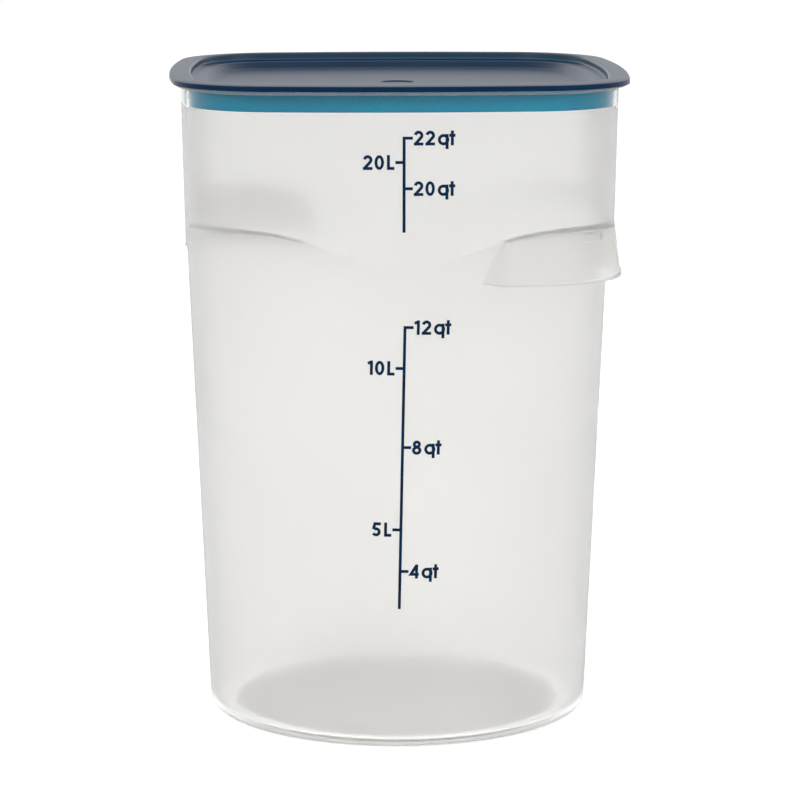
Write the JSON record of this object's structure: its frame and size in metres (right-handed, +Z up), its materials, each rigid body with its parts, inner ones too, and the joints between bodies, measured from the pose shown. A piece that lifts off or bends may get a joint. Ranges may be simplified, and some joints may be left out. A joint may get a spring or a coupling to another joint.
{
  "type": "dough proofing container",
  "caption": "Tall translucent food tub with a round body, a rounded-square top, pull handles at opposite corners, printed volume scales and a plug-in lid.",
  "frame": {"origin": "middle of the base, on the surface that the container stands on", "axes": "+Z up, the printed scales face -Y, the handles are at the +X -Y and -X +Y corners"},
  "size_m": [0.2832, 0.2832, 0.405],
  "materials": {
    "container": "milky translucent polypropylene, satin",
    "lid": "translucent navy polyethylene, satin gloss",
    "ink": "dark blue screen-printed ink"
  },
  "bodies": {
    "container": {"container_body": "container", "upper_scale_print": "ink", "lower_scale_print": "ink"},
    "lid": {"lid": "lid"}
  },
  "joints": [
    {"name": "lid_lift", "type": "slide", "parent": "container", "child": "lid", "axis": [0, 0, 1], "range_m": [0, 0.25]}
  ]
}
